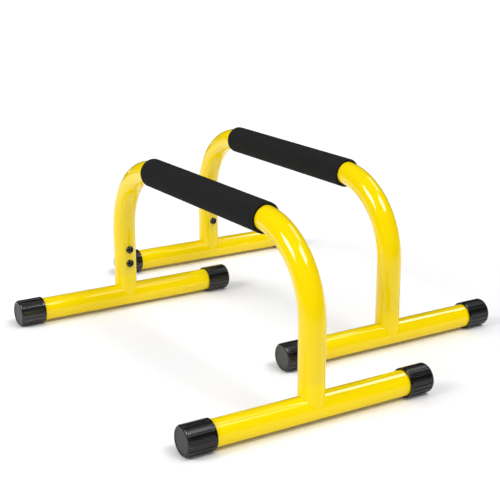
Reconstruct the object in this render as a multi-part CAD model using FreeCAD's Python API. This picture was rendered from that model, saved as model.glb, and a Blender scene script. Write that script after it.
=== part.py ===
import FreeCAD, Part
import math
import os

# A pair of parallette bars. Each bar is one bent steel tube with a foam sleeve on its crown. The tube's
# legs slide over posts that are welded to two foot tubes, and two button-head bolts hold each leg on its
# post. Ribbed push-on caps close the foot tubes and carry the bar on the floor.
# Lengths are in millimetres: X runs along the grips, Y along the feet and Z up from the floor.
# The origin is on the floor, in the middle of the pair's outline.

# Bent tube: stock, distance between the legs' axes, height of the crown's axis, bend radius on the axis
TUBE_OD = 38.1
TUBE_WALL = 2.0
SPAN = 571.5
GRIP_HEIGHT = 262.0
BEND_RADIUS = 122.0

# Foot tubes: stock, and length over both caps
FOOT_OD = 38.1
FOOT_WALL = 2.0
FOOT_LENGTH = 402.5

# The rear bar's place, from the front bar
PAIR_SHIFT_X = -172.0
PAIR_SHIFT_Y = 267.0

# Foam sleeve: outer diameter, length along the crown and the starts of its bends, edge chamfer, clearance
# on the tube
FOAM_OD = 46.8
FOAM_LENGTH = 340.5
FOAM_CHAMFER = 1.2
FOAM_FIT = 0.2

# End caps: wall over the foot tube, closed end, length, and clearance on the foot tube
CAP_WALL = 2.6
CAP_END_WALL = 4.0
CAP_LENGTH = 43.0
CAP_FIT = 0.1
# Cap ribs: flat lands between shallow grooves that stop at a plain collar
CAP_RIBS = 18
CAP_GROOVE_DEPTH = 0.9
CAP_COLLAR = 3.5
CAP_LAND_SHARE = 0.66
CAP_GROOVE_FLOOR_SHARE = 0.55
# Cap edges: rounded closed end with a shallow round recess, and a chamfered mouth
CAP_EDGE_ROUND = 4.2
CAP_MOUTH_CHAMFER = 0.6
CAP_RECESS_DEPTH = 0.6
CAP_RECESS_SHARE = 0.76

# Posts inside the legs: wall, sliding clearance, and top as a share of the straight leg above the foot
POST_WALL = 2.5
POST_FIT = 0.15
POST_TOP_SHARE = 0.83

# Flush weld in a groove round the post's lower edge
WELD_HEIGHT = 2.4
WELD_DEPTH_SHARE = 0.6

# Bolts: places as shares of the straight leg above the foot, button head, hexagon socket, shank
BOLT_PLACE_SHARES = {"lower": 0.422, "upper": 0.672}
BOLT_DIAMETER = 8.0
BOLT_HEAD_OD = 13.0
BOLT_HEAD_HEIGHT = 4.4
BOLT_HEAD_LIP = 0.7
BOLT_CROWN_SHARE = 0.5
BOLT_SOCKET_WIDTH = 5.0
BOLT_SOCKET_DEPTH = 2.6
BOLT_TAIL = 2.0
BOLT_TIP_CHAMFER = 0.8
BOLT_HOLE_FIT = 0.4

# Saddle washers under the bolt heads: outer diameter and thickness at the tube's crest
WASHER_OD = 12.8
WASHER_CREST = 1.0

# Weld nuts inside the posts
NUT_WIDTH = 13.0
NUT_HEIGHT = 6.5
THREAD_FIT = 0.05

# Gap left between pieces that sit on each other, and how far cuts run past a surface
SEAT_GAP = 0.05
OVERRUN = 5.0

QUARTER_TURN = 90.0
HALF_TURN = 180.0
FULL_TURN = 360.0
HEX_SIDES = 6

ORIGIN = FreeCAD.Vector(0, 0, 0)
X_AXIS = FreeCAD.Vector(1, 0, 0)
Y_AXIS = FreeCAD.Vector(0, 1, 0)
Z_AXIS = FreeCAD.Vector(0, 0, 1)

# Radii and levels that follow from the driving sizes
tube_r = TUBE_OD / 2
foot_r = FOOT_OD / 2
cap_r = foot_r + CAP_FIT + CAP_WALL
foot_z = cap_r
foot_top_z = foot_z + foot_r
bend_z = GRIP_HEIGHT - BEND_RADIUS
crown_half = SPAN / 2 - BEND_RADIUS
bend_length = BEND_RADIUS * math.pi / 2
straight_leg = bend_z - foot_top_z
post_r = tube_r - TUBE_WALL - POST_FIT
post_bore_r = post_r - POST_WALL
post_top_z = foot_top_z + POST_TOP_SHARE * straight_leg
bolt_r = BOLT_DIAMETER / 2
bolt_hole_r = bolt_r + BOLT_HOLE_FIT
bolt_levels = {name: foot_top_z + share * straight_leg for name, share in BOLT_PLACE_SHARES.items()}
head_seat_x = tube_r + SEAT_GAP + WASHER_CREST + SEAT_GAP
nut_seat_x = post_bore_r - SEAT_GAP


def rod(radius, length, start, axis):
    """Round bar of the given radius and length from a start point along an axis."""
    return Part.makeCylinder(radius, length, start, axis)


def revolved(corners, axis):
    """Solid turned from a closed profile of edges round an axis through the origin."""
    face = Part.Face(Part.Wire(corners))
    return face.revolve(ORIGIN, axis, FULL_TURN)


def line(first, second):
    """Straight edge between two points."""
    return Part.LineSegment(first, second).toShape()


def chain(points):
    """Straight edges from each point to the next."""
    return [line(a, b) for a, b in zip(points, points[1:])]


def hexagon(width, height, start, axis):
    """Hexagonal prism of a width across flats, from a start point along X or Z."""
    corner_r = width / 2 / math.cos(math.pi / HEX_SIDES)
    turns = [2 * math.pi * k / HEX_SIDES for k in range(HEX_SIDES + 1)]
    corners = [FreeCAD.Vector(corner_r * math.cos(t), corner_r * math.sin(t), 0) for t in turns]
    prism = Part.Face(Part.makePolygon(corners)).extrude(Z_AXIS * height)
    prism.Placement = FreeCAD.Placement(start, FreeCAD.Rotation(Z_AXIS, axis))
    return prism


def on_leg(shape, side):
    """Copy of a piece drawn on a leg at the origin, inner face to +X, moved to the bar's leg."""
    placed = shape.copy()
    if side == "left":
        placed.translate(X_AXIS * (-SPAN / 2))
    else:
        placed.rotate(ORIGIN, Z_AXIS, HALF_TURN)
        placed.translate(X_AXIS * (SPAN / 2))
    return placed


def foot_envelope(allowance):
    """Round bar on the foot tube's axis, thicker than the foot by an allowance all round."""
    return rod(foot_r + allowance, FOOT_LENGTH, FreeCAD.Vector(0, -FOOT_LENGTH / 2, foot_z), Y_AXIS)


def crown_point(along):
    """Point of the bent tube's axis at a distance along it from the middle of the crown."""
    turn = max(abs(along) - crown_half, 0) / BEND_RADIUS
    out = min(abs(along), crown_half) + BEND_RADIUS * math.sin(turn)
    drop = BEND_RADIUS * (1 - math.cos(turn))
    return FreeCAD.Vector(math.copysign(out, along), 0, GRIP_HEIGHT - drop)


def crown_heading(along):
    """Direction of the bent tube's axis, left to right, at a distance from the middle of the crown."""
    turn = max(abs(along) - crown_half, 0) / BEND_RADIUS
    return FreeCAD.Vector(math.cos(turn), 0, -math.copysign(math.sin(turn), along))


def crown_path(start, end):
    """Edges of the bent tube's axis between two distances from the middle of the crown."""
    stops = [start] + [stop for stop in (-crown_half, crown_half) if start < stop < end] + [end]
    edges = []
    for first, second in zip(stops, stops[1:]):
        middle = (first + second) / 2
        ends = (crown_point(first), crown_point(second))
        if abs(middle) < crown_half:
            edges.append(line(*ends))
        else:
            edges.append(Part.Arc(ends[0], crown_point(middle), ends[1]).toShape())
    return edges


def arch_bar(radius):
    """Round bar along the bent tube's axis: leg, bend, crown, bend, leg."""
    reach = crown_half + bend_length
    left, right = (FreeCAD.Vector(sign * SPAN / 2, 0, foot_z) for sign in (-1, 1))
    legs = (line(left, crown_point(-reach)), line(crown_point(reach), right))
    path = Part.Wire([legs[0]] + crown_path(-reach, reach) + [legs[1]])
    section = Part.Wire(Part.makeCircle(radius, left, Z_AXIS))
    return path.makePipeShell([section], True, False)


def bolt_holes(reach):
    """Bars that cut the bolt holes through a wall on the leg's inner side."""
    return [rod(bolt_hole_r, reach, FreeCAD.Vector(0, 0, z), X_AXIS) for z in bolt_levels.values()]


def arch_tube():
    """Bent tube with both leg ends coped to the foot tubes and bolt holes in the inner faces."""
    tube = arch_bar(tube_r).cut(arch_bar(tube_r - TUBE_WALL))
    cutters = bolt_holes(tube_r + OVERRUN) + [foot_envelope(SEAT_GAP)]
    for side in ("left", "right"):
        for cutter in cutters:
            tube = tube.cut(on_leg(cutter, side))
    return tube


def sleeve_bar(radius):
    """Round bar along the stretch of the crown and bends that the foam covers."""
    reach = FOAM_LENGTH / 2
    section = Part.Wire(Part.makeCircle(radius, crown_point(-reach), crown_heading(-reach)))
    return Part.Wire(crown_path(-reach, reach)).makePipeShell([section], True, False)


def foam_grip():
    """Foam sleeve on the crown, following the starts of the bends, with chamfered outer edges."""
    bar = sleeve_bar(FOAM_OD / 2)
    ends = [crown_point(sign * FOAM_LENGTH / 2) for sign in (-1, 1)]
    rims = [edge for edge in bar.Edges if min(edge.CenterOfMass.distanceToPoint(p) for p in ends) < SEAT_GAP]
    return bar.makeChamfer(FOAM_CHAMFER, rims).cut(sleeve_bar(tube_r + FOAM_FIT))


def foot_tube():
    """Straight tube along Y whose ends stand on the caps' closed ends."""
    half = FOOT_LENGTH / 2 - CAP_END_WALL - SEAT_GAP
    start = FreeCAD.Vector(0, -half, foot_z)
    bore_start = FreeCAD.Vector(0, -half - OVERRUN, foot_z)
    bore = rod(foot_r - FOOT_WALL, 2 * (half + OVERRUN), bore_start, Y_AXIS)
    return rod(foot_r, 2 * half, start, Y_AXIS).cut(bore)


def weld_zone():
    """Saddle ring round the post's lower edge, in the groove that the weld fills."""
    depth = WELD_DEPTH_SHARE * POST_WALL
    start = FreeCAD.Vector(0, 0, foot_z)
    height = foot_r + WELD_HEIGHT + OVERRUN
    ring = rod(post_r, height, start, Z_AXIS).cut(rod(post_r - depth, height, start, Z_AXIS))
    return ring.common(foot_envelope(SEAT_GAP + WELD_HEIGHT)).cut(foot_envelope(SEAT_GAP))


def post():
    """Stub tube coped to the foot, grooved for its weld and drilled for the bolts."""
    start = FreeCAD.Vector(0, 0, foot_z)
    height = post_top_z - foot_z
    stub = rod(post_r, height, start, Z_AXIS).cut(rod(post_bore_r, height, start, Z_AXIS))
    for cutter in [foot_envelope(SEAT_GAP), weld_zone()] + bolt_holes(tube_r):
        stub = stub.cut(cutter)
    return stub


def cap_section():
    """Closed outline of the ribbed cap: flat lands at the cap's radius, with flat-floored grooves."""
    pitch = 2 * math.pi / CAP_RIBS
    land = pitch * CAP_LAND_SHARE / 2
    floor = pitch / 2 - pitch * (1 - CAP_LAND_SHARE) / 2 * CAP_GROOVE_FLOOR_SHARE
    land_corner_r = cap_r / math.cos(land)
    floor_r = cap_r - CAP_GROOVE_DEPTH
    corners = []
    for rib in range(CAP_RIBS):
        centre = rib * pitch - math.pi / 2
        for turn, radius in ((-floor, floor_r), (-land, land_corner_r), (land, land_corner_r), (floor, floor_r)):
            angle = centre + turn
            corners.append(FreeCAD.Vector(radius * math.cos(angle), radius * math.sin(angle), 0))
    return Part.makePolygon(corners + corners[:1]), land_corner_r


def end_cap():
    """Ribbed ferrule at the foot's near end: mouth towards the middle, one land flat on the floor."""
    section, outer_r = cap_section()
    ribs = Part.Face(section).extrude(Z_AXIS * (CAP_LENGTH - CAP_COLLAR))
    ribs.translate(Z_AXIS * CAP_COLLAR)
    collar = rod(cap_r, CAP_COLLAR, ORIGIN, Z_AXIS)
    shoulder = CAP_LENGTH - CAP_EDGE_ROUND
    slack = CAP_EDGE_ROUND * (1 - math.cos(math.radians(QUARTER_TURN / 2)))
    mouth = [
        FreeCAD.Vector(0, 0, 0),
        FreeCAD.Vector(cap_r - CAP_MOUTH_CHAMFER, 0, 0),
        FreeCAD.Vector(cap_r, 0, CAP_MOUTH_CHAMFER),
        FreeCAD.Vector(outer_r, 0, CAP_COLLAR),
        FreeCAD.Vector(outer_r, 0, shoulder),
    ]
    edge_middle = FreeCAD.Vector(outer_r - slack, 0, CAP_LENGTH - slack)
    edge_end = FreeCAD.Vector(outer_r - CAP_EDGE_ROUND, 0, CAP_LENGTH)
    rounded = Part.Arc(mouth[-1], edge_middle, edge_end).toShape()
    closing = chain([edge_end, FreeCAD.Vector(0, 0, CAP_LENGTH), mouth[0]])
    envelope = revolved(chain(mouth) + [rounded] + closing, Z_AXIS)
    cap = ribs.fuse(collar).common(envelope)
    bore_r = foot_r + CAP_FIT
    cap = cap.cut(rod(bore_r, CAP_LENGTH - CAP_END_WALL + OVERRUN, Z_AXIS * -OVERRUN, Z_AXIS))
    recess_start = Z_AXIS * (CAP_LENGTH - CAP_RECESS_DEPTH)
    cap = cap.cut(rod(CAP_RECESS_SHARE * cap_r, OVERRUN, recess_start, Z_AXIS))
    cap.rotate(ORIGIN, X_AXIS, QUARTER_TURN)
    cap.translate(FreeCAD.Vector(0, CAP_LENGTH - FOOT_LENGTH / 2, foot_z))
    return cap


def bolt():
    """Button-head bolt along X: domed head with a hexagon socket, shank to past the nut."""
    head_r = BOLT_HEAD_OD / 2
    crown_r = BOLT_CROWN_SHARE * head_r
    shank = head_seat_x - nut_seat_x + NUT_HEIGHT + BOLT_TAIL
    tip_r = bolt_r - BOLT_TIP_CHAMFER
    dome_rise = BOLT_HEAD_HEIGHT - BOLT_HEAD_LIP
    dome_turn = math.radians(QUARTER_TURN / 2)
    dome_out = crown_r + (head_r - crown_r) * math.cos(dome_turn)
    dome_up = BOLT_HEAD_LIP + dome_rise * math.sin(dome_turn)
    lip = FreeCAD.Vector(head_r, 0, BOLT_HEAD_LIP)
    crown = FreeCAD.Vector(crown_r, 0, BOLT_HEAD_HEIGHT)
    below = [
        FreeCAD.Vector(0, 0, -shank),
        FreeCAD.Vector(tip_r, 0, -shank),
        FreeCAD.Vector(bolt_r, 0, BOLT_TIP_CHAMFER - shank),
        FreeCAD.Vector(bolt_r, 0, 0),
        FreeCAD.Vector(head_r, 0, 0),
        lip,
    ]
    dome = Part.Arc(lip, FreeCAD.Vector(dome_out, 0, dome_up), crown).toShape()
    above = chain([crown, FreeCAD.Vector(0, 0, BOLT_HEAD_HEIGHT), below[0]])
    blank = revolved(chain(below) + [dome] + above, Z_AXIS)
    socket_start = Z_AXIS * (BOLT_HEAD_HEIGHT - BOLT_SOCKET_DEPTH)
    blank = blank.cut(hexagon(BOLT_SOCKET_WIDTH, BOLT_SOCKET_DEPTH + OVERRUN, socket_start, Z_AXIS))
    blank.rotate(ORIGIN, Y_AXIS, QUARTER_TURN)
    blank.translate(X_AXIS * head_seat_x)
    return blank


def saddle_washer():
    """Washer along X, flat under the bolt head and hollowed to the leg's round face."""
    outer = rod(WASHER_OD / 2, head_seat_x - SEAT_GAP, ORIGIN, X_AXIS)
    leg_start = Z_AXIS * (-WASHER_OD)
    leg = rod(tube_r + SEAT_GAP, 2 * WASHER_OD, leg_start, Z_AXIS)
    return outer.cut(leg).cut(rod(bolt_hole_r, head_seat_x + OVERRUN, ORIGIN, X_AXIS))


def weld_nut():
    """Hexagon nut along X whose seat is rounded to the post's bore."""
    inner_x = nut_seat_x - NUT_HEIGHT
    blank = hexagon(NUT_WIDTH, NUT_HEIGHT + OVERRUN, X_AXIS * inner_x, X_AXIS)
    bore = rod(nut_seat_x, 2 * NUT_WIDTH, Z_AXIS * (-NUT_WIDTH), Z_AXIS)
    thread = rod(bolt_r + THREAD_FIT, tube_r + OVERRUN, ORIGIN, X_AXIS)
    return blank.common(bore).cut(thread)


def leg_pieces(side):
    """Named pieces that stand on one foot of a bar."""
    far_cap = end_cap()
    far_cap.rotate(ORIGIN, Z_AXIS, HALF_TURN)
    pieces = {
        "foot_tube": foot_tube(),
        "post": post(),
        "weld": weld_zone(),
    }
    # The right leg's pieces are turned half round, which swaps a foot's two ends
    ends = ("near_cap", "far_cap") if side == "left" else ("far_cap", "near_cap")
    pieces.update(zip(ends, (end_cap(), far_cap)))
    for name, level in bolt_levels.items():
        for kind, shape in (("bolt", bolt()), ("washer", saddle_washer()), ("nut", weld_nut())):
            shape.translate(Z_AXIS * level)
            pieces[name + "_" + kind] = shape
    return {side + "_" + name: on_leg(shape, side) for name, shape in pieces.items()}


def bar_pieces():
    """Named pieces of one bar, centred over its feet."""
    pieces = {"arch_tube": arch_tube(), "foam_grip": foam_grip()}
    for side in ("left", "right"):
        pieces.update(leg_pieces(side))
    return pieces


def main():
    os.makedirs("parts", exist_ok=True)
    offset = FreeCAD.Vector(PAIR_SHIFT_X, PAIR_SHIFT_Y, 0) / 2
    pieces = bar_pieces()
    for bar, move in (("front", -offset), ("rear", offset)):
        for name, shape in pieces.items():
            placed = shape.copy()
            placed.translate(move)
            placed.exportStep("parts/" + bar + "_" + name + ".step")


main()
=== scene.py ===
import math

import bpy
import numpy as np
from mathutils import Matrix, Vector


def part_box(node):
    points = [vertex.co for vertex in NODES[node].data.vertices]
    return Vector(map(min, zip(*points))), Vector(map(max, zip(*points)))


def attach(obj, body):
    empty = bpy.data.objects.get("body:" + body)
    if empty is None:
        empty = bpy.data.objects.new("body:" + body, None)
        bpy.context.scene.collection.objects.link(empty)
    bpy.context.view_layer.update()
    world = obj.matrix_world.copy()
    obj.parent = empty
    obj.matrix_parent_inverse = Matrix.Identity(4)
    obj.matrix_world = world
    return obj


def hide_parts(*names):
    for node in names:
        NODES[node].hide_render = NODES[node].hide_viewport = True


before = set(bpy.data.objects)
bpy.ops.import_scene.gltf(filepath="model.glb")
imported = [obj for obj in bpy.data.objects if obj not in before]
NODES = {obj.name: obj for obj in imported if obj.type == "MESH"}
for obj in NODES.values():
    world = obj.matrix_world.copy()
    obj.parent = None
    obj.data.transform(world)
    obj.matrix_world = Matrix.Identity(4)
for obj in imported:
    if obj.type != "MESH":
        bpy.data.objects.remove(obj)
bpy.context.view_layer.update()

# A pair of parallette bars: foam grips, ribbed end caps and button-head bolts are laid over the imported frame,
# and every piece gets its finish. Lengths are in metres: X along the grips, Y along the feet, Z up.
BARS = ("front", "rear")
SIDES = ("left", "right")
FULL_TURN = 2 * math.pi
QUARTER_TURN = math.pi / 2
MILLIMETRE = 0.001

# Bent tube: radius of its bends, on its axis
BEND_RADIUS = 122.0 * MILLIMETRE

# Foam grip: length along the tube's axis, clearance of its bore, rounding of its ends, how tight its foam is
GRIP_LENGTH = 340.5 * MILLIMETRE
GRIP_CLEARANCE = 0.15 * MILLIMETRE
GRIP_LIP = 1.6 * MILLIMETRE
# Its grid
GRIP_COLUMNS = 144
GRIP_WALL_ROWS = 300
GRIP_LIP_ROWS = 8
GRIP_BORE_ROWS = 60
# Slow unevenness of its skin: depth, spacing, and the stretch over which it fades out at the ends
GRIP_UNEVENNESS = 0.10 * MILLIMETRE
GRIP_UNEVEN_SPACING = 16 * MILLIMETRE
GRIP_EVEN_END = 6 * GRIP_LIP

# End cap: clearance on the foot tube, closed end, rounded end with its shallow recess, mouth
CAP_FIT = 0.1 * MILLIMETRE
CAP_END_WALL = 4.0 * MILLIMETRE
CAP_EDGE_ROUND = 4.2 * MILLIMETRE
CAP_RECESS_DEPTH = 0.6 * MILLIMETRE
CAP_RECESS_SHARE = 0.76
CAP_RECESS_ROUND = 0.5 * MILLIMETRE
CAP_MOUTH_ROUND = 0.6 * MILLIMETRE
# Its ribs: where lands end and groove floors begin, as shares of half the pitch, how soft the step between
# them is, and the collar at which the grooves run out
CAP_RIBS = 18
CAP_GROOVE_DEPTH = 0.9 * MILLIMETRE
CAP_LAND_SHARE = 0.66
CAP_FLOOR_SHARE = 0.813
CAP_STEP_SOFTNESS = 0.03
CAP_COLLAR = 3.5 * MILLIMETRE
CAP_RUNOUT = 0.9 * MILLIMETRE
# Its grid: places of a rib's columns, as shares of half its pitch from its middle, rows of an arc, and the
# ring round the inner pole as a share of the bore
CAP_COLUMN_SHARES = (0.0, 0.25, 0.45, 0.57, 0.63, 0.67, 0.71, 0.755, 0.80, 0.86)
CAP_ARC_ROWS = 9
CAP_INNER_RING = 0.3
# Its wear: width of the rubbed line at a land's edge, and place and strength of the wear on the rounded end
CAP_RUB_WIDTH = 0.08
CAP_END_RUB_PLACE = 0.7
CAP_END_RUB = 0.8

# Bolt: button head, hexagon socket, threaded shank
BOLT_RADIUS = 4.0 * MILLIMETRE
BOLT_HEAD_RADIUS = 6.5 * MILLIMETRE
BOLT_HEAD_HEIGHT = 4.4 * MILLIMETRE
BOLT_LIP = 1.0 * MILLIMETRE
BOLT_SOCKET_WIDTH = 5.0 * MILLIMETRE
BOLT_SOCKET_DEPTH = 2.6 * MILLIMETRE
BOLT_SOCKET_CHAMFER = 0.25 * MILLIMETRE
BOLT_THREAD_PITCH = 1.25 * MILLIMETRE
BOLT_THREAD_DEPTH = 0.6 * MILLIMETRE
BOLT_PLAIN_SHANK = 3.0 * MILLIMETRE
BOLT_TIP_CHAMFER = 0.8 * MILLIMETRE
HEX_SIDES = 6
# Its grid: the ring round the socket's pole is a share of the socket's half width
BOLT_COLUMNS = 72
BOLT_THREAD_ROWS = 96
BOLT_DOME_ROWS = 14
BOLT_SOCKET_RING = 0.5
BOLT_SHARP_ANGLE = math.radians(35)
# Its wear: strength on the lip, and the share of the head's radius from which the lip counts
BOLT_LIP_RUB = 0.6
BOLT_LIP_SHARE = 0.9

# Camera: its place, the direction it faces, and the focal length over the frame's width
CAMERA_PLACE = Vector((1.54128, -0.95899, 0.66444))
CAMERA_AZIMUTH = math.radians(58.11)
CAMERA_ELEVATION = math.radians(16.37)
CAMERA_FOCAL_SHARE = 2.28116

# Fine grain: roughness of its noise
GRAIN_ROUGHNESS = 0.55
# Rubbed edges: detail of the patches, and the noise levels between which a patch begins
RUB_DETAIL = 4.0
RUB_PATCH = (0.35, 0.7)
# Settled dust: upward lean from which it lies and at which it is full, and its patches
DUST_LEAN = (0.2, 1.0)
DUST_FINENESS = 60.0
DUST_DETAIL = 6.0
DUST_PATCH = (0.4, 0.75)

# Yellow paint: gloss, the tones of arches and the brighter tones of feet and legs' roots, which are painted
# light standing in for the light these low parts miss, slow drift between them, and orange peel with its bump's
# depth and strength
PAINT_GLOSS = {"Specular_IOR_Level": 0.42, "Coat_Roughness": 0.07}
PAINT_ROUGHNESS = (0.06, 0.09)
PAINT_ARCH_TONES = ((0.875, 0.645, 0.001), (0.895, 0.662, 0.002))
PAINT_BRIGHTENED_TONES = ((0.935, 0.692, 0.001), (0.955, 0.712, 0.002))
PAINT_DRIFT = {"Fineness": 14.0, "Detail": 2.0, "Contrast": 1.4}
PAINT_PEEL = {"Fineness": 420.0, "Detail": 1.0, "Contrast": 1.0}
PAINT_PEEL_BUMP = (0.02 * MILLIMETRE, 0.12)
# Clear coat: its weight on the arches and the heights between which it ends at the legs' roots, where the
# painted light of the brighter feet tones also takes over, and its index of refraction on the feet and the
# heights between which it begins on their ridges
COAT_ARCH_WEIGHT = 0.62
COAT_ROOT_TOP = 0.068
COAT_ROOT_BOTTOM = 0.054
COAT_FOOT_REFRACTION = 1.7
COAT_RIDGE_BOTTOM = 0.0352
COAT_RIDGE_TOP = 0.0372

# Foam: gloss, tones, grain, pores with the distances between which they deepen, dust, and its bump
FOAM_GLOSS = 0.12
FOAM_ROUGHNESS = (0.82, 0.98)
FOAM_TONES = ((0.010, 0.010, 0.010), (0.017, 0.017, 0.017))
FOAM_GRAIN = {"Fineness": 1500.0, "Detail": 2.0, "Contrast": 1.6}
FOAM_PORE_FINENESS = 900.0
FOAM_PORE_DEPTHS = (0.05, 0.5)
FOAM_DUST = 0.04
FOAM_DUST_TONE = (0.12, 0.118, 0.112)
FOAM_BUMP = (0.25 * MILLIMETRE, 0.6)

# Cap rubber: gloss, tones, mould grain, wear, matt end disc, dust, and its bump
RUBBER_GLOSS = 0.7
RUBBER_ROUGHNESS = (0.17, 0.23)
RUBBER_TONES = ((0.004, 0.004, 0.0043), (0.006, 0.006, 0.0063))
RUBBER_GRAIN = {"Fineness": 1800.0, "Detail": 2.0, "Contrast": 1.5}
RUBBER_WEAR = 0.45
RUBBER_WORN_TONE = (0.045, 0.045, 0.045)
RUBBER_DISC_TONE = (0.045, 0.045, 0.046)
RUBBER_DISC_ROUGHENING = 0.32
RUBBER_DUST = 0.025
RUBBER_DUST_TONE = (0.14, 0.135, 0.13)
RUBBER_BUMP = (0.06 * MILLIMETRE, 0.4)

# Black bolt steel: gloss, tones, grain, wear, and its bump
BLACK_GLOSS = 0.7
BLACK_ROUGHNESS = (0.06, 0.10)
BLACK_TONES = ((0.001, 0.001, 0.0011), (0.003, 0.003, 0.0032))
BLACK_GRAIN = {"Fineness": 900.0, "Detail": 3.0, "Contrast": 1.4}
BLACK_WEAR = {"Patchiness": 600.0, "Amount": 0.25}
BLACK_BARED_TONE = (0.16, 0.155, 0.15)
BLACK_BUMP = (0.03 * MILLIMETRE, 0.4)

# Unpainted metals inside the legs: tones, roughness and fineness of each, and what their grain shares
PLAIN_METALS = {
    "bare_steel": {
        "tones": ((0.30, 0.30, 0.31), (0.42, 0.42, 0.43)), "roughness": (0.30, 0.45), "fineness": 300.0,
    },
    "weld_metal": {
        "tones": ((0.22, 0.21, 0.20), (0.38, 0.36, 0.34)), "roughness": (0.35, 0.60), "fineness": 700.0,
    },
    "zinc_plated_steel": {
        "tones": ((0.48, 0.49, 0.50), (0.60, 0.61, 0.62)), "roughness": (0.25, 0.40), "fineness": 500.0,
    },
}
METAL_GRAIN = {"Detail": 4.0, "Contrast": 1.5}
METAL_BUMP = (0.05 * MILLIMETRE, 0.5)

# Finish of each kind of node, by the ending of its name
FINISH_OF = {
    "arch_tube": "arch_paint",
    "foot_tube": "foot_paint",
    "grip": "foam",
    "cap": "rubber",
    "bolt": "black_steel",
    "washer": "black_steel",
    "post": "bare_steel",
    "weld": "weld_metal",
    "nut": "zinc_plated_steel",
}

# Softboxes: azimuth and elevation in degrees, width, height, and light given at the bars
SOFTBOX_DISTANCE = 14.0
SOFTBOXES = {
    "side_softbox": {"azimuth": -4, "elevation": 37, "width": 5.4, "height": 4.8, "level": 0.5},
    "top_softbox": {"azimuth": 108, "elevation": 58.5, "width": 5.0, "height": 4.2, "level": 0.29},
    "top_scrim": {"azimuth": 119, "elevation": 58, "width": 7.6, "height": 4.8, "level": 0.145},
    "back_softbox": {"azimuth": 188, "elevation": 53, "width": 5.2, "height": 2.6, "level": 0.075},
    "back_scrim": {"azimuth": 180, "elevation": 63, "width": 3.2, "height": 3.0, "level": 0.014},
}
LAMP_TARGET = Vector((0.0, 0.0, 0.12))

# Room: even fill, white backdrop that fades to the ceiling's tone over a rise above the horizon, and the lean
# towards the far side from which the backdrop shows and at which it is full
WHITE = (1.0, 1.0, 1.0, 1.0)
BLACK = (0.0, 0.0, 0.0, 1.0)
ROOM_FILL = 0.5
CEILING_TONE = 0.02
BACKDROP_RISE = 0.04
BACKDROP_LEAN = (-0.2, 0.5)

# Floor: half its side, finish, tone, tone to the camera, its own glow near the bars and far out, and the
# distances of these two
FLOOR_HALF = 25.0
FLOOR_FINISH = {"Roughness": 0.6, "Specular_IOR_Level": 0.0}
FLOOR_TONE = (0.95, 0.95, 0.95)
FLOOR_SEEN_TONE = (0.895, 0.898, 0.915)
FLOOR_GLOW = (0.015, 0.75)
FLOOR_REACH = (0.8, 5.0)
# Lit sweep of the floor, as polished faces show it: its middle, behind the bars, and the distances from there
# between which it fades out
SWEEP_MIDDLE = (-0.85, 0.53, 0.0)
SWEEP_FADE = (0.3, 2.7)

# Numbers of the colour sockets of Blender's Mix node
MIX_SHARE, MIX_FIRST, MIX_SECOND, MIX_RESULT = 0, 6, 7, 2


def turned_mesh(name, points, first_pole=None, last_pole=None, ring=False):
    """Mesh of a grid of points, rows by columns, whose columns close on themselves.

    Quads join each row to the next; a pole point closes the first or last row with a fan, and a ring joins
    the last row to the first. All faces are turned round together where the enclosed volume is negative."""
    rows, columns = points.shape[:2]
    numbers = np.arange(rows * columns).reshape(rows, columns)
    vertices = [points.reshape(-1, 3)]
    lower = numbers if ring else numbers[:-1]
    upper = np.roll(numbers, -1, axis=0) if ring else numbers[1:]
    quads = np.stack([lower, upper, np.roll(upper, -1, axis=1), np.roll(lower, -1, axis=1)], axis=-1)
    faces = quads.reshape(-1, 4).tolist()
    count = rows * columns
    for pole, row, inward in ((first_pole, numbers[0], False), (last_pole, numbers[-1], True)):
        if pole is None:
            continue
        vertices.append(np.asarray(pole, float).reshape(1, 3))
        edge = np.stack([row, np.roll(row, -1)], axis=-1)
        edge = edge[:, ::-1] if inward else edge
        tip = np.full((columns, 1), count)
        faces += np.hstack([tip, edge]).tolist()
        count += 1
    vertices = np.vstack(vertices)
    corners = points.reshape(-1, 3)[quads.reshape(-1, 4)]
    spans = np.cross(corners[:, 2] - corners[:, 0], corners[:, 3] - corners[:, 1])
    volume = np.einsum("ij,ij->", corners.mean(axis=1) - vertices.mean(axis=0), spans)
    if volume < 0:
        faces = [face[::-1] for face in faces]
    mesh = bpy.data.meshes.new(name)
    mesh.from_pydata(vertices, [], faces)
    mesh.update()
    mesh.shade_smooth()
    return mesh


def store_mask(mesh, name, values, poles):
    """Point attribute of one number for each vertex of a grid, and then for each of its two poles."""
    mask = mesh.attributes.new(name, "FLOAT", "POINT")
    mask.data.foreach_set("value", np.append(values.ravel(), poles).astype(np.float32))


def new_piece(name, mesh, material, body, slot, *nodes):
    """Object for a mesh, riding on a body and standing for the named nodes."""
    mesh.materials.append(material)
    piece = bpy.data.objects.new(name, mesh)
    bpy.context.scene.collection.objects.link(piece)
    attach(piece, body)
    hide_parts(*nodes)
    return piece


def arc(centre_along, centre_out, radius, start, end, count):
    """Points of a circular arc in a profile, as columns along and out, from a start to an end angle."""
    turn = np.linspace(start, end, count)
    return np.stack([centre_along + radius * np.cos(turn), centre_out + radius * np.sin(turn)], axis=-1)


def straight(start, end, out, count):
    """Points of a straight stretch of a profile, from a start to an end along, at one distance out."""
    return np.stack([np.linspace(start, end, count), np.full(count, out)], axis=-1)


def smooth_step(low, high, value):
    """0 below low, 1 above high and an even S between them."""
    share = np.clip((value - low) / (high - low), 0, 1)
    return share * share * (3 - 2 * share)


def soft_field(rows, columns, row_step, column_step, spacing, seed):
    """Smooth random field from 0 to 1, closed round its columns: white noise blurred over a spacing."""
    noise = np.random.default_rng(seed).standard_normal((rows, columns))
    along = np.fft.fftfreq(rows, row_step)[:, None]
    around = np.fft.fftfreq(columns, column_step)[None, :]
    blur = np.exp(-2 * (math.pi * spacing / 2) ** 2 * (along ** 2 + around ** 2))
    field = np.fft.ifft2(np.fft.fft2(noise) * blur).real
    return (field - field.min()) / (field.max() - field.min())


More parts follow.
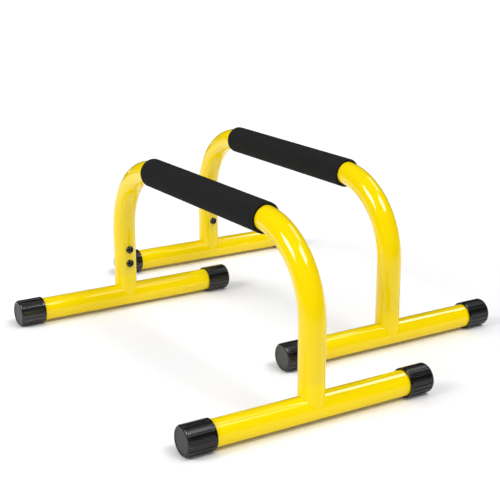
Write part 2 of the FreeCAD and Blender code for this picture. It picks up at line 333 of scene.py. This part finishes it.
def grip_mesh(bar, seed):
    """Foam sleeve: a closed profile of bore, ends, rounded lips and wall, carried along the bent tube's axis.

    Point(u, v) = axis(s(u)) + r (cos v across + sin v up(s)). The axis is level over the crown and then
    follows the bend's arc, and up(s) leans with it; r = profile(u) less a soft field of shallow dents that
    fades out at the lips."""
    low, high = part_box(bar + "_foam_grip")
    outer = (high.y - low.y) / 2
    tube_low, tube_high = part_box(bar + "_arch_tube")
    middle = (tube_low + tube_high) / 2
    tube = (tube_high.y - tube_low.y) / 2
    bore = tube + GRIP_CLEARANCE
    half = GRIP_LENGTH / 2
    lip_centre = outer - GRIP_LIP
    profile = np.vstack([
        straight(-half, half, bore, GRIP_BORE_ROWS),
        [[half, (bore + outer) / 2]],
        arc(half - GRIP_LIP, lip_centre, GRIP_LIP, 0, QUARTER_TURN, GRIP_LIP_ROWS)[:-1],
        straight(half - GRIP_LIP, GRIP_LIP - half, outer, GRIP_WALL_ROWS),
        arc(GRIP_LIP - half, lip_centre, GRIP_LIP, QUARTER_TURN, 2 * QUARTER_TURN, GRIP_LIP_ROWS)[1:],
        [[-half, (bore + outer) / 2]],
    ])
    along, out = profile[:, :1], profile[:, 1:]
    turn = np.linspace(0, FULL_TURN, GRIP_COLUMNS, endpoint=False)[None, :]
    row_step = 2 * half / GRIP_WALL_ROWS
    column_step = FULL_TURN * outer / GRIP_COLUMNS
    dents = soft_field(len(profile), GRIP_COLUMNS, row_step, column_step, GRIP_UNEVEN_SPACING, seed)
    skin = smooth_step(half, half - GRIP_EVEN_END, abs(along)) * (out > outer - GRIP_LIP / 2)
    radius = out - GRIP_UNEVENNESS * skin * dents
    crown_half = (tube_high.x - tube_low.x) / 2 - tube - BEND_RADIUS
    lean = np.sign(along) * np.maximum(abs(along) - crown_half, 0) / BEND_RADIUS
    axis_x = middle.x + np.clip(along, -crown_half, crown_half) + BEND_RADIUS * np.sin(lean)
    axis_z = tube_high.z - tube - BEND_RADIUS * (1 - np.cos(lean))
    points = np.stack([
        axis_x + radius * np.sin(turn) * np.sin(lean),
        middle.y + radius * np.cos(turn),
        axis_z + radius * np.sin(turn) * np.cos(lean),
    ], axis=-1)
    return turned_mesh(bar + "_grip_sleeve", points, ring=True)


def cap_mesh(name, node, foot_node, closed_end):
    """Ribbed ferrule: a profile from the bore's end out of the mouth, along the wall and over the closed end,
    turned round the foot's axis.

    Point(u, v) = axis(t(u)) + r (cos v, sin v), where r is the smaller of profile(u) and the ribbed wall:
    flat lands at the cap's radius, joined by grooves that an S-curve sinks to their floors and that run out
    at the collar."""
    low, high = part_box(node)
    foot_low, foot_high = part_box(foot_node)
    centre_x, centre_z = (low.x + high.x) / 2, (low.z + high.z) / 2
    length, wall = high.y - low.y, (high.z - low.z) / 2
    bore = (foot_high.z - foot_low.z) / 2 + CAP_FIT
    pitch = FULL_TURN / CAP_RIBS
    half_shares = np.array(CAP_COLUMN_SHARES)
    shares = np.concatenate([half_shares, [1.0], -half_shares[:0:-1]])
    shares = np.sort(np.where(shares < 0, shares + 2, shares))
    turn = ((np.arange(CAP_RIBS)[:, None] + shares[None, :] / 2) * pitch).ravel()[None, :] - QUARTER_TURN
    offset = abs((turn + QUARTER_TURN + pitch / 2) % pitch - pitch / 2) / (pitch / 2)
    land = wall / np.cos(np.minimum(offset, CAP_LAND_SHARE) * pitch / 2)
    sunk = smooth_step(CAP_LAND_SHARE - CAP_STEP_SOFTNESS, CAP_FLOOR_SHARE + CAP_STEP_SOFTNESS, offset)
    corner = wall / math.cos(CAP_LAND_SHARE * pitch / 2)
    ribbed = land + sunk * (wall - CAP_GROOVE_DEPTH - land)
    recess = CAP_RECESS_SHARE * wall
    inner_end = length - CAP_END_WALL
    outer_end = length - CAP_RECESS_DEPTH
    shoulder = length - CAP_EDGE_ROUND
    inside_rows = [
        [inner_end, CAP_INNER_RING * bore], [inner_end, bore], [length / 2, bore], [CAP_MOUTH_ROUND, bore],
    ]
    disc_rows = [[outer_end, recess - CAP_RECESS_ROUND / 4], [outer_end, recess / 2]]
    mouth_out = wall - CAP_MOUTH_ROUND
    recess_along, recess_out = length - CAP_RECESS_ROUND, recess + CAP_RECESS_ROUND
    profile = np.vstack([
        inside_rows,
        arc(CAP_MOUTH_ROUND, mouth_out, CAP_MOUTH_ROUND, 2 * QUARTER_TURN, QUARTER_TURN, CAP_ARC_ROWS),
        [[CAP_COLLAR - CAP_RUNOUT, wall]],
        straight(CAP_COLLAR, CAP_COLLAR + CAP_RUNOUT, corner, CAP_ARC_ROWS),
        straight(CAP_COLLAR + 3 * CAP_RUNOUT, shoulder, corner, CAP_ARC_ROWS),
        arc(shoulder, corner - CAP_EDGE_ROUND, CAP_EDGE_ROUND, QUARTER_TURN, 0, 2 * CAP_ARC_ROWS)[1:],
        arc(recess_along, recess_out, CAP_RECESS_ROUND, 0, -QUARTER_TURN, CAP_ARC_ROWS),
        disc_rows,
    ])
    along, out = profile[:, :1], profile[:, 1:]
    row = np.arange(len(profile))[:, None]
    disc_start = len(profile) - len(disc_rows)
    outside = (row >= len(inside_rows)) & (row < disc_start - CAP_ARC_ROWS)
    ribs_begin = smooth_step(CAP_COLLAR, CAP_COLLAR + CAP_RUNOUT, along)
    limit = wall + ribs_begin * (ribbed - wall)
    radius = np.where(outside, np.minimum(out, limit), out + 0 * turn)
    mouth = high.y if closed_end < 0 else low.y
    points = np.stack([
        centre_x + radius * np.cos(turn),
        mouth + closed_end * along + 0 * turn,
        centre_z + radius * np.sin(turn),
    ], axis=-1)
    poles = [(centre_x, mouth + closed_end * end, centre_z) for end in (inner_end, outer_end)]
    mesh = turned_mesh(name, points, *poles)
    rim = np.exp(-((offset - CAP_LAND_SHARE) / CAP_RUB_WIDTH) ** 2) * ribs_begin * outside
    end_place = shoulder + CAP_END_RUB_PLACE * CAP_EDGE_ROUND
    end = np.exp(-((along - end_place) / CAP_EDGE_ROUND) ** 2) * outside
    store_mask(mesh, "rub", np.clip(np.maximum(rim, CAP_END_RUB * end), 0, 1), (0, 0))
    store_mask(mesh, "disc", (row >= disc_start) + 0 * turn, (0, 1))
    return mesh


def bolt_mesh(name, node, outward):
    """Button-head bolt: a profile from the socket's floor over the ball-shaped dome and down the shank to the
    tip, turned round the bolt's axis.

    Point(u, v) = axis(h(u)) + r (cos v, sin v). In the socket r is the hexagon's radius at v, and on the
    thread r falls by the depth times a triangle wave of h / pitch + v / full turn."""
    low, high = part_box(node)
    top = high.x if outward > 0 else low.x
    length = high.x - low.x
    centre_y, centre_z = (low.y + high.y) / 2, (low.z + high.z) / 2
    flat = BOLT_SOCKET_WIDTH / 2
    floor = BOLT_SOCKET_DEPTH
    mouth = BOLT_SOCKET_CHAMFER
    crown = (flat + mouth) / math.cos(math.pi / HEX_SIDES) + mouth / 2
    fall = BOLT_HEAD_HEIGHT - BOLT_LIP
    middle = (BOLT_HEAD_RADIUS ** 2 + fall ** 2 - crown ** 2) / (2 * fall)
    ball = math.hypot(crown, middle)
    crown_turn, edge_turn = math.asin(crown / ball), math.asin(BOLT_HEAD_RADIUS / ball)
    thread_start = BOLT_HEAD_HEIGHT + BOLT_PLAIN_SHANK
    thread_end = length - BOLT_TIP_CHAMFER
    socket_rows = [
        [floor, BOLT_SOCKET_RING * flat], [floor, flat - mouth], [floor - mouth, flat], [mouth, flat],
        [0, flat + mouth],
    ]
    profile = np.vstack([
        socket_rows,
        arc(middle, 0, -ball, -crown_turn, -edge_turn, BOLT_DOME_ROWS),
        [[BOLT_HEAD_HEIGHT - mouth / 2, BOLT_HEAD_RADIUS], [BOLT_HEAD_HEIGHT, BOLT_HEAD_RADIUS - mouth / 2]],
        [[BOLT_HEAD_HEIGHT, BOLT_RADIUS], [thread_start - mouth, BOLT_RADIUS]],
        straight(thread_start, thread_end, BOLT_RADIUS, BOLT_THREAD_ROWS),
        [[length, BOLT_RADIUS - BOLT_TIP_CHAMFER]],
    ])
    along, out = profile[:, :1], profile[:, 1:]
    row = np.arange(len(profile))[:, None]
    turn = np.linspace(0, FULL_TURN, BOLT_COLUMNS, endpoint=False)[None, :]
    sector = FULL_TURN / HEX_SIDES
    hexagon = 1 / np.cos((turn % sector) - sector / 2)
    in_socket = row < len(socket_rows)
    on_thread = (along >= thread_start) & (along <= thread_end)
    phase = (along / BOLT_THREAD_PITCH + outward * turn / FULL_TURN) % 1
    groove = (1 - abs(2 * phase - 1)) * smooth_step(thread_start, thread_start + BOLT_THREAD_PITCH, along)
    radius = np.where(in_socket, out * hexagon, out - on_thread * BOLT_THREAD_DEPTH * groove)
    points = np.stack([
        top - outward * along + 0 * turn,
        centre_y + radius * np.cos(turn),
        centre_z + radius * np.sin(turn),
    ], axis=-1)
    poles = [(top - outward * depth, centre_y, centre_z) for depth in (floor, length)]
    mesh = turned_mesh(name, points, *poles)
    mesh.set_sharp_from_angle(angle=BOLT_SHARP_ANGLE)
    rim = np.exp(-((out - flat - mouth) / (2 * mouth)) ** 2) * (along < mouth)
    lip = np.exp(-((along - fall) / mouth) ** 2) * (out > BOLT_LIP_SHARE * BOLT_HEAD_RADIUS)
    store_mask(mesh, "rub", np.clip(rim + BOLT_LIP_RUB * lip, 0, 1) + 0 * turn, (0, 0))
    return mesh


def feed(tree, node, **values):
    """Gives a node's inputs their values, or joins them to sockets.

    A key is an input's name with _ for blanks, or _ and its number."""
    for key, value in values.items():
        socket = node.inputs[int(key[1:])] if key[0] == "_" else node.inputs[key.replace("_", " ")]
        if isinstance(value, bpy.types.NodeSocket):
            tree.links.new(value, socket)
        else:
            socket.default_value = value


def add_node(tree, kind, settings=None, **values):
    """Node of a kind with its settings and its inputs' values."""
    node = tree.nodes.new(kind)
    for key, value in (settings or {}).items():
        setattr(node, key, value)
    feed(tree, node, **values)
    return node


def place_group(tree, group, **values):
    """A shared group placed in a material with its own values."""
    return add_node(tree, "ShaderNodeGroup", {"node_tree": group}, **values)


def calculated(tree, operation, *values, clamp=False):
    """Result of a calculation with numbers or sockets."""
    inputs = {"_%d" % number: value for number, value in enumerate(values)}
    return add_node(tree, "ShaderNodeMath", {"operation": operation, "use_clamp": clamp}, **inputs).outputs[0]


def stretched(tree, value, low, high, start=0.0, end=1.0, smooth=False):
    """Number that goes from a start to an end while a value goes from low to high."""
    settings = {"clamp": True, "interpolation_type": "SMOOTHSTEP" if smooth else "LINEAR"}
    node = add_node(tree, "ShaderNodeMapRange", settings, Value=value, From_Min=low, From_Max=high,
                    To_Min=start, To_Max=end)
    return node.outputs["Result"]


def ranged(tree, mask, low, high):
    """Number that goes from low to high by a mask."""
    return stretched(tree, mask, 0.0, 1.0, low, high)


def mixed_colour(tree, share, first, second):
    """Colour that goes from the first to the second, each a colour or a socket, by a mask."""
    mix = add_node(tree, "ShaderNodeMix", {"data_type": "RGBA"})
    tree.links.new(share, mix.inputs[MIX_SHARE])
    for socket, value in ((mix.inputs[MIX_FIRST], first), (mix.inputs[MIX_SECOND], second)):
        if isinstance(value, bpy.types.NodeSocket):
            tree.links.new(value, socket)
        else:
            socket.default_value = (*value, 1.0)
    return mix.outputs[MIX_RESULT]


def bumped(tree, height, distance, strength):
    """Normal from a height."""
    bump = add_node(tree, "ShaderNodeBump", Height=height, Distance=distance, Strength=strength)
    return bump.outputs["Normal"]


def noise_at(tree, place, fineness, detail, **values):
    """Noise of a fineness and a detail at a place."""
    noise = add_node(tree, "ShaderNodeTexNoise", Vector=place, Scale=fineness, Detail=detail, **values)
    return noise.outputs["Fac"]


def mixed_shader(tree, share, first, second):
    """Shader that goes from the first to the second by a mask."""
    return add_node(tree, "ShaderNodeMixShader", _0=share, _1=first, _2=second).outputs[0]


def height_mask(tree, place, start, end):
    """Mask that goes from 0 at one height above the floor to 1 at another."""
    parts = add_node(tree, "ShaderNodeSeparateXYZ", Vector=place.outputs["Object"])
    return stretched(tree, parts.outputs["Z"], start, end, smooth=True)


def stored_mask(tree, name):
    """A piece's own mask, stored with its mesh."""
    return add_node(tree, "ShaderNodeAttribute", {"attribute_name": name}).outputs["Fac"]


def new_group(name, inputs, outputs):
    """Shader node group with named number or vector sockets, and its two end nodes."""
    group = bpy.data.node_groups.new(name, "ShaderNodeTree")
    for title, kind, value in inputs:
        socket = group.interface.new_socket(title, in_out="INPUT", socket_type="NodeSocket" + kind)
        if value is not None:
            socket.default_value = value
    for title in outputs:
        group.interface.new_socket(title, in_out="OUTPUT", socket_type="NodeSocketFloat")
    return group, group.nodes.new("NodeGroupInput").outputs, group.nodes.new("NodeGroupOutput")


def grain_group():
    """Fine grain: noise of a given size, cut to a soft contrast, as a mask and as a height."""
    inputs = (
        ("Place", "Vector", None), ("Fineness", "Float", 400.0),
        ("Detail", "Float", 3.0), ("Contrast", "Float", 1.0),
    )
    group, given, end = new_group("fine_grain", inputs, ("Mask", "Height"))
    noise = noise_at(group, given["Place"], given["Fineness"], given["Detail"], Roughness=GRAIN_ROUGHNESS)
    centred = calculated(group, "SUBTRACT", noise, 0.5)
    spread = calculated(group, "MULTIPLY_ADD", centred, given["Contrast"], 0.5, clamp=True)
    feed(group, end, Mask=spread, Height=noise)
    return group


def rub_group():
    """Rubbed edges: the piece's own edge mask broken up by noise, so that the wear isn't even."""
    inputs = (
        ("Place", "Vector", None), ("Edge", "Float", 0.0),
        ("Patchiness", "Float", 120.0), ("Amount", "Float", 0.5),
    )
    group, given, end = new_group("rubbed_edges", inputs, ("Mask",))
    noise = noise_at(group, given["Place"], given["Patchiness"], RUB_DETAIL)
    worn = calculated(group, "MULTIPLY", given["Edge"], stretched(group, noise, *RUB_PATCH))
    feed(group, end, Mask=calculated(group, "MULTIPLY", worn, given["Amount"], clamp=True))
    return group


def dust_group():
    """Settled dust: patchy noise on faces that look up, none on sides or undersides."""
    inputs = (("Place", "Vector", None), ("Normal", "Vector", None), ("Amount", "Float", 0.1))
    group, given, end = new_group("settled_dust", inputs, ("Mask",))
    parts = add_node(group, "ShaderNodeSeparateXYZ", Vector=given["Normal"])
    facing = stretched(group, parts.outputs["Z"], *DUST_LEAN)
    noise = noise_at(group, given["Place"], DUST_FINENESS, DUST_DETAIL)
    both = calculated(group, "MULTIPLY", facing, stretched(group, noise, *DUST_PATCH))
    feed(group, end, Mask=calculated(group, "MULTIPLY", both, given["Amount"], clamp=True))
    return group


def new_material(name, **shader_values):
    """Material whose Principled shader has the given plain values, with its tree, shader and coordinates."""
    material = bpy.data.materials.new(name)
    material.use_nodes = True
    tree = material.node_tree
    shader = tree.nodes["Principled BSDF"]
    feed(tree, shader, **shader_values)
    return material, tree, shader, tree.nodes.new("ShaderNodeTexCoord")


def paint_skin(groups, tree, shader, place):
    """Orange peel and uneven gloss of the paint, and the mask of its slow drift between two tones."""
    drift = place_group(tree, groups["grain"], Place=place.outputs["Object"], **PAINT_DRIFT).outputs["Mask"]
    peel = place_group(tree, groups["grain"], Place=place.outputs["Object"], **PAINT_PEEL).outputs["Height"]
    feed(tree, shader, Roughness=ranged(tree, drift, *PAINT_ROUGHNESS),
         Normal=bumped(tree, peel, *PAINT_PEEL_BUMP))
    return drift


def arch_paint(groups):
    """Gloss yellow powder coat: a slow drift between two tones, and a thin clear coat that ends above the roots
    of the legs.
    The roots take the feet's brighter tones, painted light that stands in for the light they miss."""
    material, tree, shader, place = new_material("yellow_powder_coat", **PAINT_GLOSS)
    drift = paint_skin(groups, tree, shader, place)
    root = height_mask(tree, place, COAT_ROOT_TOP, COAT_ROOT_BOTTOM)
    high = mixed_colour(tree, drift, *PAINT_ARCH_TONES)
    # Painted light: the legs' roots get the brighter tones of the feet
    low = mixed_colour(tree, drift, *PAINT_BRIGHTENED_TONES)
    coat = ranged(tree, root, COAT_ARCH_WEIGHT, 0.0)
    feed(tree, shader, Base_Color=mixed_colour(tree, root, high, low), Coat_Weight=coat)
    return material


def foot_paint(groups):
    """The same powder coat on the feet, in brighter tones that are painted light standing in for the light the
    low feet miss, where the clear coat lies on the ridge and not on the sides.
    """
    material, tree, shader, place = new_material(
        "yellow_powder_coat_feet", Coat_IOR=COAT_FOOT_REFRACTION, **PAINT_GLOSS)
    drift = paint_skin(groups, tree, shader, place)
    ridge = height_mask(tree, place, COAT_RIDGE_BOTTOM, COAT_RIDGE_TOP)
    # Painted light: the feet's tones are brighter than the arches'
    feed(tree, shader, Base_Color=mixed_colour(tree, drift, *PAINT_BRIGHTENED_TONES), Coat_Weight=ridge)
    return material


def grip_foam(groups):
    """Matt black closed-cell foam: pores of two sizes, a mottled tone, little gloss and dust on top."""
    material, tree, shader, place = new_material("grip_foam", Specular_IOR_Level=FOAM_GLOSS)
    spot, normal = place.outputs["Object"], place.outputs["Normal"]
    grain = place_group(tree, groups["grain"], Place=spot, **FOAM_GRAIN).outputs
    pores = add_node(tree, "ShaderNodeTexVoronoi", Vector=spot, Scale=FOAM_PORE_FINENESS)
    pits = stretched(tree, pores.outputs["Distance"], *FOAM_PORE_DEPTHS)
    height = calculated(tree, "MULTIPLY", pits, grain["Height"])
    dust = place_group(tree, groups["dust"], Place=spot, Normal=normal, Amount=FOAM_DUST).outputs["Mask"]
    body = mixed_colour(tree, grain["Mask"], *FOAM_TONES)
    feed(tree, shader, Base_Color=mixed_colour(tree, dust, body, FOAM_DUST_TONE),
         Roughness=ranged(tree, grain["Mask"], *FOAM_ROUGHNESS), Normal=bumped(tree, height, *FOAM_BUMP))
    return material


def cap_rubber(groups):
    """Black moulded rubber: glossy lands with a fine mould grain, edges rubbed a little lighter, a matt
    greyer end disc, and dust on top."""
    material, tree, shader, place = new_material("cap_rubber", Specular_IOR_Level=RUBBER_GLOSS)
    spot, normal = place.outputs["Object"], place.outputs["Normal"]
    grain = place_group(tree, groups["grain"], Place=spot, **RUBBER_GRAIN).outputs
    edge, disc = stored_mask(tree, "rub"), stored_mask(tree, "disc")
    rub = place_group(tree, groups["rub"], Place=spot, Edge=edge, Amount=RUBBER_WEAR).outputs["Mask"]
    dust = place_group(tree, groups["dust"], Place=spot, Normal=normal, Amount=RUBBER_DUST).outputs["Mask"]
    body = mixed_colour(tree, grain["Mask"], *RUBBER_TONES)
    worn = mixed_colour(tree, rub, body, RUBBER_WORN_TONE)
    matt = mixed_colour(tree, disc, worn, RUBBER_DISC_TONE)
    gloss = ranged(tree, grain["Mask"], *RUBBER_ROUGHNESS)
    feed(tree, shader, Base_Color=mixed_colour(tree, dust, matt, RUBBER_DUST_TONE),
         Roughness=calculated(tree, "MULTIPLY_ADD", disc, RUBBER_DISC_ROUGHENING, gloss),
         Normal=bumped(tree, grain["Height"], *RUBBER_BUMP))
    return material


def black_steel(groups):
    """Blackened bolt steel: near-black oxide, bared a little at its rubbed edges."""
    material, tree, shader, place = new_material("black_oxide_steel", Specular_IOR_Level=BLACK_GLOSS)
    spot = place.outputs["Object"]
    grain = place_group(tree, groups["grain"], Place=spot, **BLACK_GRAIN).outputs
    edge = stored_mask(tree, "rub")
    rub = place_group(tree, groups["rub"], Place=spot, Edge=edge, **BLACK_WEAR).outputs["Mask"]
    body = mixed_colour(tree, grain["Mask"], *BLACK_TONES)
    feed(tree, shader, Base_Color=mixed_colour(tree, rub, body, BLACK_BARED_TONE), Metallic=rub,
         Roughness=ranged(tree, grain["Mask"], *BLACK_ROUGHNESS),
         Normal=bumped(tree, grain["Height"], *BLACK_BUMP))
    return material


def plain_metal(groups, name, tones, roughness, fineness):
    """Unpainted metal: grain between two tones and two roughnesses."""
    material, tree, shader, place = new_material(name, Metallic=1.0)
    spot = place.outputs["Object"]
    grain = place_group(tree, groups["grain"], Place=spot, Fineness=fineness, **METAL_GRAIN).outputs
    feed(tree, shader, Base_Color=mixed_colour(tree, grain["Mask"], *tones),
         Roughness=ranged(tree, grain["Mask"], *roughness), Normal=bumped(tree, grain["Height"], *METAL_BUMP))
    return material


def all_finishes():
    """Every finish by its name, made from one set of shared groups."""
    groups = {"grain": grain_group(), "rub": rub_group(), "dust": dust_group()}
    finishes = {
        "arch_paint": arch_paint(groups),
        "foot_paint": foot_paint(groups),
        "foam": grip_foam(groups),
        "rubber": cap_rubber(groups),
        "black_steel": black_steel(groups),
    }
    finishes.update({name: plain_metal(groups, name, **values) for name, values in PLAIN_METALS.items()})
    return finishes


def dress_nodes(finishes):
    """Gives each node of the frame the finish of its kind."""
    for name, node in NODES.items():
        finish = next(finish for ending, finish in FINISH_OF.items() if name.endswith("_" + ending))
        node.data.materials.clear()
        node.data.materials.append(finishes[finish])


def dress_bar(bar, number, finishes):
    """Foam grip, end caps and bolts of one bar."""
    body = bar + "_bar"
    mesh = grip_mesh(bar, number)
    grip = new_piece(bar + "_grip_sleeve", mesh, finishes["foam"], body, "foam", bar + "_foam_grip")
    for side, outward in zip(SIDES, (1, -1)):
        leg = bar + "_" + side
        for end, closed_end in (("near", -1), ("far", 1)):
            node = leg + "_" + end + "_cap"
            mesh = cap_mesh(node + "_ribbed", node, leg + "_foot_tube", closed_end)
            new_piece(node + "_ribbed", mesh, finishes["rubber"], body, "cap_rubber", node)
        for level in ("lower", "upper"):
            node = leg + "_" + level + "_bolt"
            mesh = bolt_mesh(node + "_button", node, outward)
            new_piece(node + "_button", mesh, finishes["black_steel"], body, "black_steel", node)


def seen_by_eye(tree, path):
    """1 for camera, glossy and transmission rays, 0 for the light that falls on a surface."""
    first = calculated(tree, "MAXIMUM", path.outputs["Is Camera Ray"], path.outputs["Is Glossy Ray"])
    return calculated(tree, "MAXIMUM", first, path.outputs["Is Transmission Ray"])


def floor_material():
    """Matt white studio floor, a little cooler to the camera, with a glow of its own, stronger far out, in
    what the eye sees of it.

    Polished faces show it fading out with the distance from the middle of the lit sweep behind the bars."""
    material, tree, shader, place = new_material("studio_floor", **FLOOR_FINISH)
    spot = place.outputs["Object"]
    path = tree.nodes.new("ShaderNodeLightPath")
    tone = mixed_colour(tree, path.outputs["Is Camera Ray"], FLOOR_TONE, FLOOR_SEEN_TONE)
    feed(tree, shader, Base_Color=tone)
    reach = add_node(tree, "ShaderNodeVectorMath", {"operation": "LENGTH"}, _0=spot).outputs["Value"]
    strength = stretched(tree, reach, *FLOOR_REACH, *FLOOR_GLOW, smooth=True)
    glow = add_node(tree, "ShaderNodeEmission", Color=WHITE, Strength=strength).outputs[0]
    dark = add_node(tree, "ShaderNodeEmission", Color=BLACK, Strength=0.0).outputs[0]
    choice = mixed_shader(tree, seen_by_eye(tree, path), dark, glow)
    total = add_node(tree, "ShaderNodeAddShader", _0=shader.outputs[0], _1=choice).outputs[0]
    away = add_node(tree, "ShaderNodeVectorMath", {"operation": "DISTANCE"}, _0=spot, _1=SWEEP_MIDDLE)
    fade = stretched(tree, away.outputs["Value"], *SWEEP_FADE, smooth=True)
    mirrored = calculated(tree, "MULTIPLY", path.outputs["Is Glossy Ray"], fade)
    feed(tree, tree.nodes["Material Output"], Surface=mixed_shader(tree, mirrored, total, dark))
    return material


def studio_world():
    """White backdrop on the far side that fades to a dim ceiling above the horizon, white to the camera all
    round, and an even fill for the light on surfaces."""
    world = bpy.data.worlds.new("studio")
    bpy.context.scene.world = world
    world.use_nodes = True
    tree = world.node_tree
    tree.nodes.clear()
    path = tree.nodes.new("ShaderNodeLightPath")
    outward = tree.nodes.new("ShaderNodeTexCoord").outputs["Generated"]
    parts = add_node(tree, "ShaderNodeSeparateXYZ", Vector=outward)
    height = stretched(tree, parts.outputs["Z"], 0.0, BACKDROP_RISE, 1.0, CEILING_TONE)
    behind = (-math.sin(CAMERA_AZIMUTH), math.cos(CAMERA_AZIMUTH), 0.0)
    facing = add_node(tree, "ShaderNodeVectorMath", {"operation": "DOT_PRODUCT"}, _0=outward, _1=behind)
    lit = stretched(tree, facing.outputs["Value"], *BACKDROP_LEAN)
    sweep = calculated(tree, "MULTIPLY", height, lit)
    tone = calculated(tree, "MAXIMUM", sweep, path.outputs["Is Camera Ray"])
    backdrop = add_node(tree, "ShaderNodeBackground", Color=WHITE, Strength=tone).outputs[0]
    fill = add_node(tree, "ShaderNodeBackground", Color=WHITE, Strength=ROOM_FILL).outputs[0]
    choice = mixed_shader(tree, seen_by_eye(tree, path), fill, backdrop)
    add_node(tree, "ShaderNodeOutputWorld", Surface=choice)


def direction(azimuth, elevation):
    """Unit vector at an azimuth from -Y towards +X and an elevation."""
    level = math.cos(elevation)
    return Vector((math.sin(azimuth) * level, -math.cos(azimuth) * level, math.sin(elevation)))


def add_softbox(name, azimuth, elevation, width, height, level):
    """Rectangular area lamp aimed at the bars; its watts give the wanted level at its distance."""
    light = bpy.data.lights.new(name, "AREA")
    light.shape = "RECTANGLE"
    light.size = width
    light.size_y = height
    light.energy = level * (math.pi * SOFTBOX_DISTANCE) ** 2
    lamp = bpy.data.objects.new(name, light)
    towards = direction(math.radians(azimuth), math.radians(elevation))
    lamp.location = LAMP_TARGET + SOFTBOX_DISTANCE * towards
    lamp.rotation_euler = towards.to_track_quat("Z", "Y").to_euler()
    lamp.visible_camera = False
    bpy.context.scene.collection.objects.link(lamp)


def add_floor():
    """Square white floor under the bars, one grid of four corners."""
    edge = np.array([-FLOOR_HALF, FLOOR_HALF])
    x, y = np.meshgrid(edge, edge)
    corners = np.stack([x, y, 0 * x], axis=-1).reshape(-1, 3)
    mesh = bpy.data.meshes.new("studio_floor")
    mesh.from_pydata(corners, [], [[0, 1, 3, 2]])
    mesh.materials.append(floor_material())
    floor = bpy.data.objects.new("studio_floor", mesh)
    bpy.context.scene.collection.objects.link(floor)


def add_camera():
    """Camera at the photograph's place, held level."""
    back = direction(CAMERA_AZIMUTH, CAMERA_ELEVATION)
    right = Vector((math.cos(CAMERA_AZIMUTH), math.sin(CAMERA_AZIMUTH), 0.0))
    lens = bpy.data.cameras.new("camera")
    lens.lens = CAMERA_FOCAL_SHARE * lens.sensor_width
    camera = bpy.data.objects.new("camera", lens)
    turn = Matrix((right, back.cross(right), back)).transposed().to_4x4()
    camera.matrix_world = Matrix.Translation(CAMERA_PLACE) @ turn
    bpy.context.scene.collection.objects.link(camera)
    bpy.context.scene.camera = camera


def main():
    """Dresses the bars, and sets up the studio."""
    bpy.context.scene.view_settings.view_transform = "Standard"
    finishes = all_finishes()
    dress_nodes(finishes)
    for number, bar in enumerate(BARS):
        dress_bar(bar, number, finishes)
    studio_world()
    for name, values in SOFTBOXES.items():
        add_softbox(name, **values)
    add_floor()
    add_camera()


main()
